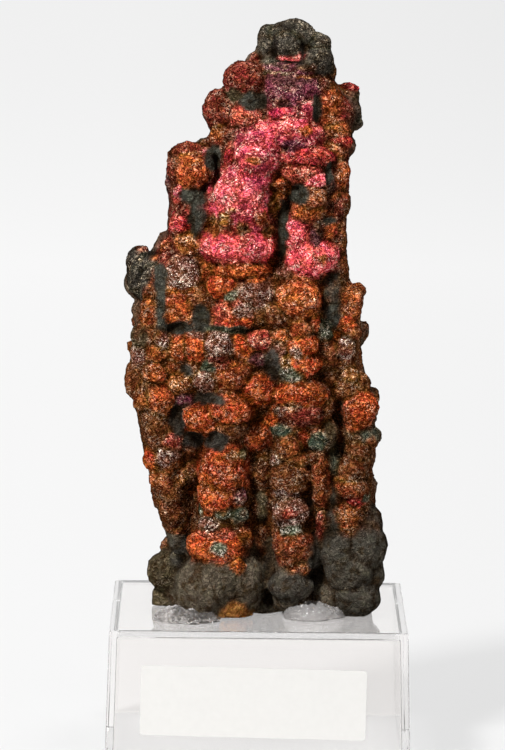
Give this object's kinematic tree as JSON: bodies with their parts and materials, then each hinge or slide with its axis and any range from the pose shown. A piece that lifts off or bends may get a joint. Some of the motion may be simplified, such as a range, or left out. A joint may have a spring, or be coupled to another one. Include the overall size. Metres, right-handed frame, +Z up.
{
  "type": "goethite specimen on a clear display block",
  "caption": "Tall iridescent botryoidal goethite group glued upright on a hollow clear display block with a blank white label",
  "frame": {"origin": "middle of the block's underside, on the surface that it stands on", "axes": "+Z up, -Y towards the viewer (the label's side), +X to the viewer's right"},
  "size_m": [0.0522, 0.0525, 0.1266],
  "materials": {
    "goethite": "glittery metallic crust, iridescent red to copper, dark grey in the crevices",
    "clear_block": "clear polished moulded polystyrene",
    "label": "matt white, blank",
    "glue": "clear, crinkled, glossy"
  },
  "bodies": {
    "root": {"goethite": "goethite", "base": "clear_block", "label": "label", "glue_left": "glue", "glue_right": "glue"}
  },
  "joints": []
}
